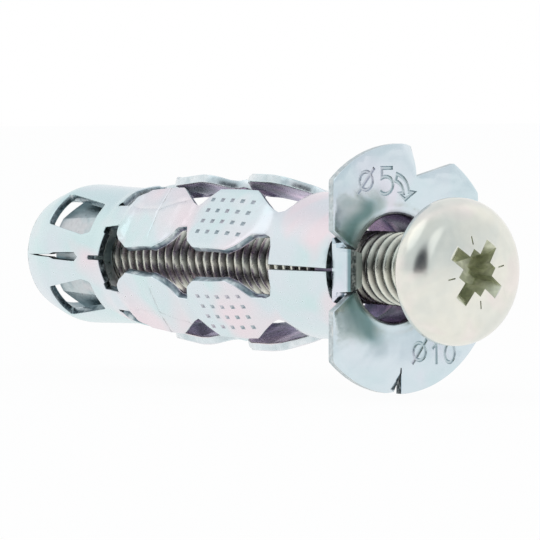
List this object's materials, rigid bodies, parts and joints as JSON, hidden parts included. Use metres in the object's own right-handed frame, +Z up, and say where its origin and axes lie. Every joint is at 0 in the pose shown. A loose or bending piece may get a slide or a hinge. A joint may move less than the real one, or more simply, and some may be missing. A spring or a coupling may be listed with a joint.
{
  "type": "hollow wall anchor",
  "caption": "Metal cavity wall anchor: a rolled sheet sleeve with folding legs, a toothed flange, a captive nut in the tail and a pan head machine screw.",
  "frame": {"origin": "centre of the flange's back face, on the plane of the wall and the axis of the screw", "axes": "+X out of the wall along the screw towards its head, -Y towards the seam of the sleeve, +Z up"},
  "size_m": [0.0447, 0.0127, 0.0164],
  "materials": {
    "zinc_sheet": "bright zinc plate with a faint blue and pink passivation",
    "zinc_flange": "bright zinc plate, flat pressed sheet",
    "nut_steel": "zinc plated steel",
    "screw_steel": "satin warm plating"
  },
  "bodies": {
    "anchor": {"anchor_sleeve": "zinc_sheet", "wall_flange": "zinc_flange", "captive_nut": "nut_steel"},
    "screw": {"machine_screw": "screw_steel"}
  },
  "joints": [
    {"name": "screw_feed", "type": "slide", "parent": "anchor", "child": "screw", "axis": [1, 0, 0], "range_m": [-0.00495, 0.006]}
  ]
}
